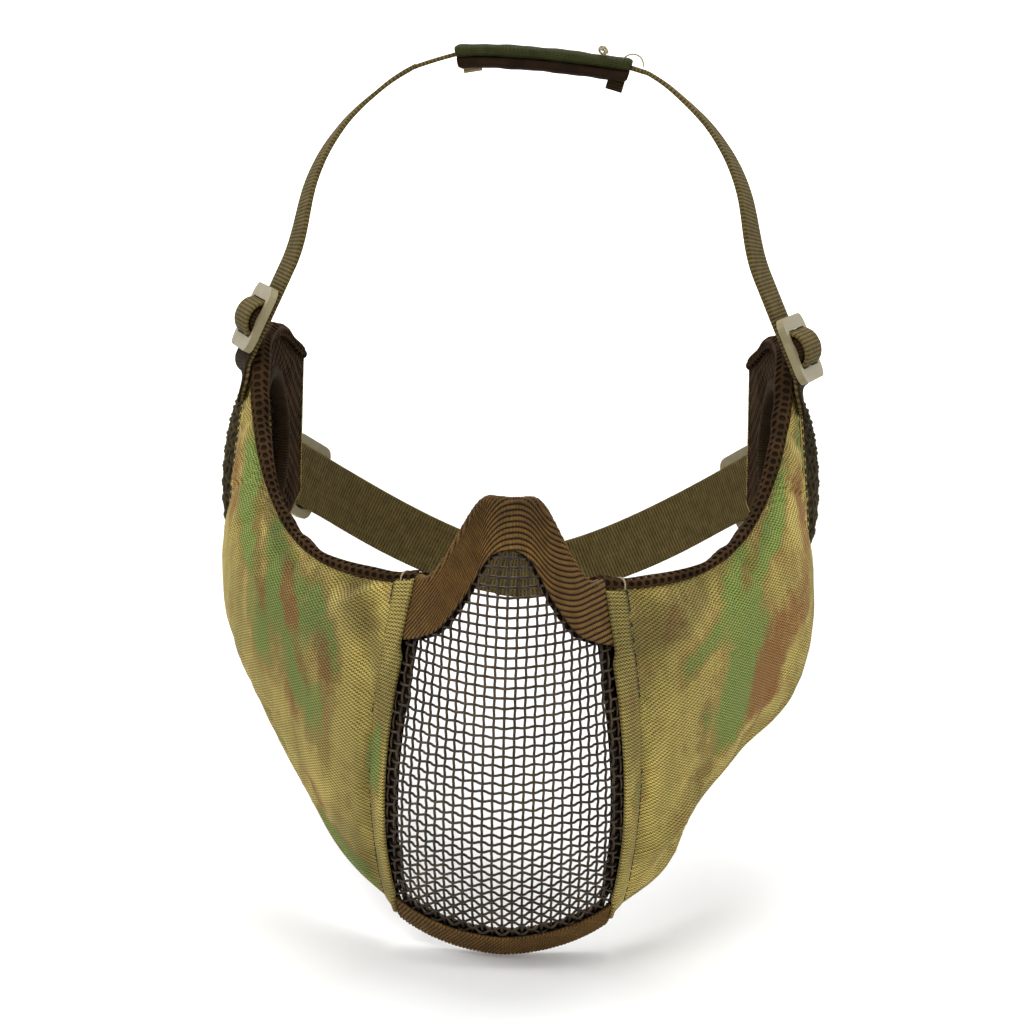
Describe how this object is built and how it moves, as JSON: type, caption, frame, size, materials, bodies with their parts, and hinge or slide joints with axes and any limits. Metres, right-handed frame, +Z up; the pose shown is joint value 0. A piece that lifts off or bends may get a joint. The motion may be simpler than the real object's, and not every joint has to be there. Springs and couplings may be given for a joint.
{
  "type": "camo face mask",
  "caption": "Half-face field mask: formed steel-wire face panel between padded camouflage wings with wire ear guards, worn on elastic crown and nape straps with three-bar sliders.",
  "frame": {"origin": "midway between the wearer's ear canals, where the wearer's head sits", "axes": "+Z up; the wearer faces -Y; +X is the wearer's left. Left and right in the names are the wearer's"},
  "size_m": [0.1962, 0.2328, 0.2635],
  "materials": {
    "camo_cloth": "woven, camouflage printed in khaki, green and rust",
    "brown_webbing": "ribbed webbing",
    "spacer_cloth": "dark spacer mesh",
    "olive_webbing": "elastic webbing",
    "green_webbing": "ribbed webbing",
    "slider_plastic": "satin moulded",
    "dark_steel_wire": "dark coated woven wire",
    "foam_filling": "open-cell foam"
  },
  "bodies": {
    "face": {"face_wire_panel": "dark_steel_wire", "nose_binding": "brown_webbing", "chin_binding": "brown_webbing", "left_panel_edge_tape": "spacer_cloth", "right_panel_edge_tape": "spacer_cloth", "crown_strap": "olive_webbing", "nape_strap": "olive_webbing"},
    "crown_pad": {"crown_pad_sleeve": "green_webbing", "crown_pad_lining": "spacer_cloth"},
    "left_wing": {"left_wing_shell": "camo_cloth", "left_wing_foam": "foam_filling", "left_wing_lining": "spacer_cloth", "left_top_edge_roll": "spacer_cloth", "left_seam_strip": "camo_cloth", "left_ear_guard": "dark_steel_wire", "left_ear_rim": "camo_cloth", "left_crown_anchor_strap": "olive_webbing", "left_crown_tab": "brown_webbing", "left_nape_anchor_strap": "olive_webbing", "left_nape_tab": "brown_webbing"},
    "left_crown_slider": {"left_crown_slider": "slider_plastic", "left_crown_slider_wrap": "olive_webbing"},
    "left_nape_slider": {"left_nape_slider": "slider_plastic", "left_nape_slider_wrap": "olive_webbing"},
    "right_wing": {"right_wing_shell": "camo_cloth", "right_wing_foam": "foam_filling", "right_wing_lining": "spacer_cloth", "right_top_edge_roll": "spacer_cloth", "right_seam_strip": "camo_cloth", "right_ear_guard": "dark_steel_wire", "right_ear_rim": "camo_cloth", "right_crown_anchor_strap": "olive_webbing", "right_crown_tab": "brown_webbing", "right_nape_anchor_strap": "olive_webbing", "right_nape_tab": "brown_webbing"},
    "right_crown_slider": {"right_crown_slider": "slider_plastic", "right_crown_slider_wrap": "olive_webbing"},
    "right_nape_slider": {"right_nape_slider": "slider_plastic", "right_nape_slider_wrap": "olive_webbing"}
  },
  "joints": [
    {"name": "left_wing_fold", "type": "hinge", "parent": "face", "child": "left_wing", "pos_m": [0.03, -0.106, -0.06], "axis": [0, 0, 1], "range_deg": [-15, 18]},
    {"name": "right_wing_fold", "type": "hinge", "parent": "face", "child": "right_wing", "pos_m": [-0.03, -0.106, -0.06], "axis": [0, 0, -1], "range_deg": [-15, 18]},
    {"name": "left_crown_slide", "type": "slide", "parent": "left_wing", "child": "left_crown_slider", "axis": [-0.3998, 0.1999, 0.8945], "range_m": [-0.001, 0.011]},
    {"name": "left_nape_slide", "type": "slide", "parent": "left_wing", "child": "left_nape_slider", "axis": [-0.5, 0.7, -0.51], "range_m": [-0.002, 0.014]},
    {"name": "right_crown_slide", "type": "slide", "parent": "right_wing", "child": "right_crown_slider", "axis": [0.3998, 0.1999, 0.8945], "range_m": [-0.004, 0.007]},
    {"name": "right_nape_slide", "type": "slide", "parent": "right_wing", "child": "right_nape_slider", "axis": [0.5, 0.7, -0.51], "range_m": [-0.002, 0.014]},
    {"name": "crown_pad_travel", "type": "hinge", "parent": "face", "child": "crown_pad", "pos_m": [0, 0.01233, 0.02627], "axis": [0, 0.9976, -0.0698], "range_deg": [-7, 2.5]}
  ]
}
